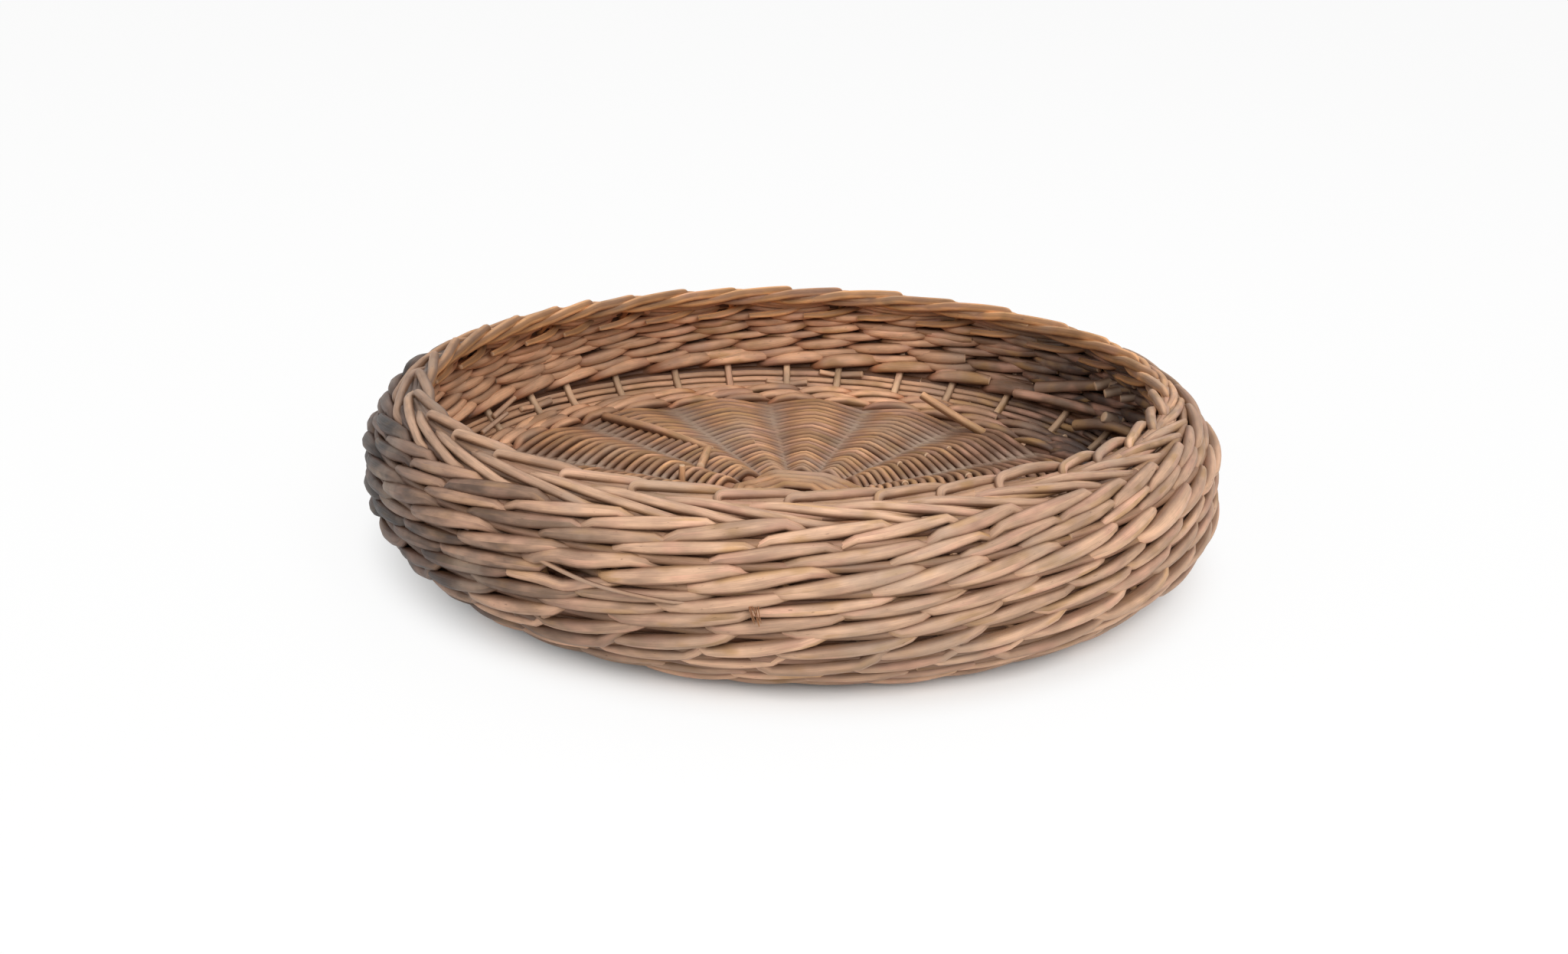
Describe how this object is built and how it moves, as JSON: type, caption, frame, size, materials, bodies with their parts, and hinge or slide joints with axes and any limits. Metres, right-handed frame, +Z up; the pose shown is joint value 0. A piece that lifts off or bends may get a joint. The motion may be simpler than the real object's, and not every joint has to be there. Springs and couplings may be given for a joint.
{
  "type": "wicker basket",
  "caption": "Low round open basket woven from willow rods, with a rounded belly, a drawn-in rim and a flat woven base.",
  "frame": {"origin": "centre of the basket on the surface that it stands on", "axes": "+Z up, +X to the right and +Y away from a viewer at the pictured front"},
  "size_m": [0.3988, 0.4048, 0.0851],
  "materials": {
    "stick": "split and shaved willow sticks, dull, dusty in the grooves",
    "base_weave": "aged orange-brown willow rods, satin on the ridges and grey with dust between them",
    "stake": "golden brown willow rods, satin",
    "wall_weave": "weathered tan to grey-brown willow rods, dull"
  },
  "bodies": {
    "root": {"split_stick_1": "stick", "split_stick_2": "stick", "split_stick_3": "stick", "split_stick_4": "stick", "threaded_stick_1": "stick", "threaded_stick_2": "stick", "threaded_stick_3": "stick", "threaded_stick_4": "stick", "threaded_stick_5": "stick", "base_weaver_1": "base_weave", "base_weaver_2": "base_weave", "stake_01": "stake", "stake_02": "stake", "stake_03": "stake", "stake_04": "stake", "stake_05": "stake", "stake_06": "stake", "stake_07": "stake", "stake_08": "stake", "stake_09": "stake", "stake_10": "stake", "stake_11": "stake", "stake_12": "stake", "stake_13": "stake", "stake_14": "stake", "stake_15": "stake", "stake_16": "stake", "stake_17": "stake", "stake_18": "stake", "stake_19": "stake", "stake_20": "stake", "stake_21": "stake", "stake_22": "stake", "stake_23": "stake", "stake_24": "stake", "stake_25": "stake", "stake_26": "stake", "stake_27": "stake", "stake_28": "stake", "stake_29": "stake", "stake_30": "stake", "stake_31": "stake", "stake_32": "stake", "stake_33": "stake", "stake_34": "stake", "stake_35": "stake", "stake_36": "stake", "wall_row_01_foot": "wall_weave", "wall_row_02_wale": "wall_weave", "wall_row_03_wale": "wall_weave", "wall_row_04_wale": "wall_weave", "wall_row_05_wale": "wall_weave", "wall_row_06_wale": "wall_weave", "wall_row_07_wale": "wall_weave", "wall_row_08_thin": "wall_weave", "wall_row_09_thin": "wall_weave", "wall_row_10_rope": "wall_weave", "wall_row_11_thin": "wall_weave", "wall_row_12_wale": "wall_weave", "wall_row_13_wale": "wall_weave"}
  },
  "joints": []
}
